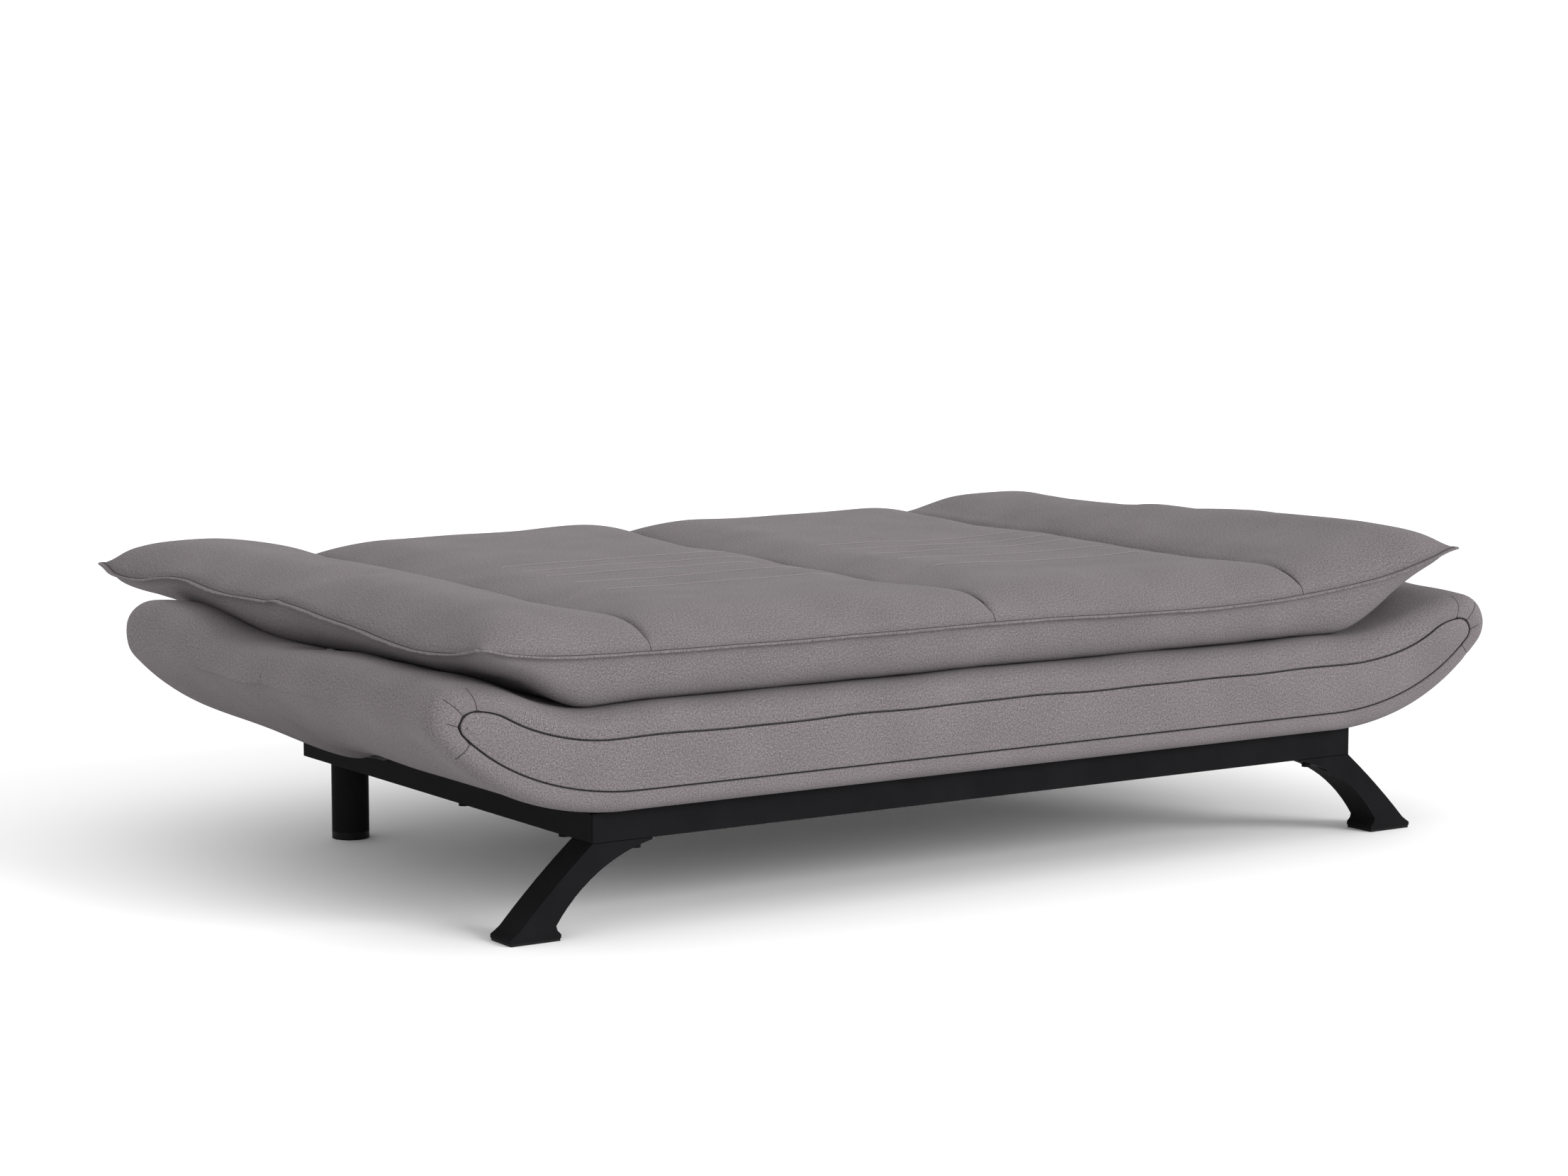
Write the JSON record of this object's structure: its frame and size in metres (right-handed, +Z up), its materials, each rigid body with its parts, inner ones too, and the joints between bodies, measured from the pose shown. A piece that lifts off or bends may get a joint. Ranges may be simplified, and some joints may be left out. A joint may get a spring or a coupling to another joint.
{
  "type": "sofa bed",
  "caption": "Click-clack sofa bed lying flat: grey padded seat and back with upturned ends under a loose pad, on a black steel frame with curved front legs.",
  "frame": {"origin": "on the floor under the middle of the whole sofa bed as it lies flat", "axes": "+X along the length to the sitter's left as they face out of it, -Y out of the front, +Z up"},
  "size_m": [1.9664, 1.28, 0.474],
  "materials": {
    "upholstery_fabric": "matte",
    "dust_cover_fabric": "matte",
    "foam": "matte",
    "plywood": "matte",
    "black_steel": "satin",
    "zinc_steel": "satin",
    "black_plastic": "matte"
  },
  "bodies": {
    "frame": {"front_rail": "black_steel", "rear_rail": "black_steel", "left_side_rail": "black_steel", "right_side_rail": "black_steel", "cross_tubes": "black_steel", "left_front_leg": "black_steel", "right_front_leg": "black_steel", "front_foot_pads": "black_plastic", "left_rear_leg": "black_steel", "right_rear_leg": "black_steel", "rear_leg_plates": "black_steel", "rear_leg_glides": "black_plastic", "front_leg_bolts": "zinc_steel", "rear_leg_bolts": "zinc_steel", "seat_mounting_bolts": "zinc_steel", "seat_front_former": "plywood", "seat_rear_former": "plywood", "seat_cross_boards": "plywood", "seat_end_boards": "plywood", "seat_bottom_boards": "plywood", "seat_springs": "zinc_steel", "seat_spring_clips": "zinc_steel", "seat_foam": "foam", "seat_cover": "upholstery_fabric", "seat_front_panel": "upholstery_fabric", "seat_dust_cover": "dust_cover_fabric", "pad_seat_core": "foam", "pad_seat_cover": "upholstery_fabric", "pad_fold": "upholstery_fabric", "left_seat_bracket": "zinc_steel", "right_seat_bracket": "zinc_steel", "hinge_pins": "zinc_steel", "pawl_pins": "zinc_steel", "pawl_springs": "zinc_steel", "seat_hinge_screws": "zinc_steel"},
    "back": {"back_front_former": "plywood", "back_rear_former": "plywood", "back_cross_boards": "plywood", "back_end_boards": "plywood", "back_bottom_boards": "plywood", "back_springs": "zinc_steel", "back_spring_clips": "zinc_steel", "back_foam": "foam", "back_cover": "upholstery_fabric", "back_rear_panel": "upholstery_fabric", "back_dust_cover": "dust_cover_fabric", "pad_back_core": "foam", "pad_back_cover": "upholstery_fabric", "left_back_arm": "zinc_steel", "right_back_arm": "zinc_steel", "back_hinge_screws": "zinc_steel"},
    "left_pawl": {"left_pawl": "zinc_steel"},
    "right_pawl": {"right_pawl": "zinc_steel"}
  },
  "joints": [
    {"name": "back_hinge", "type": "hinge", "parent": "frame", "child": "back", "pos_m": [0, -0.096, 0.333], "axis": [1, 0, 0], "range_deg": [0, 75], "deforming": ["pad_fold"]},
    {"name": "left_pawl_pivot", "type": "hinge", "parent": "frame", "child": "left_pawl", "pos_m": [-0.8635, -0.147, 0.297], "axis": [1, 0, 0], "range_deg": [0, 12], "stiffness_Nm_per_rad": 0.2},
    {"name": "right_pawl_pivot", "type": "hinge", "parent": "frame", "child": "right_pawl", "pos_m": [0.8635, -0.147, 0.297], "axis": [1, 0, 0], "range_deg": [0, 12], "stiffness_Nm_per_rad": 0.2}
  ]
}
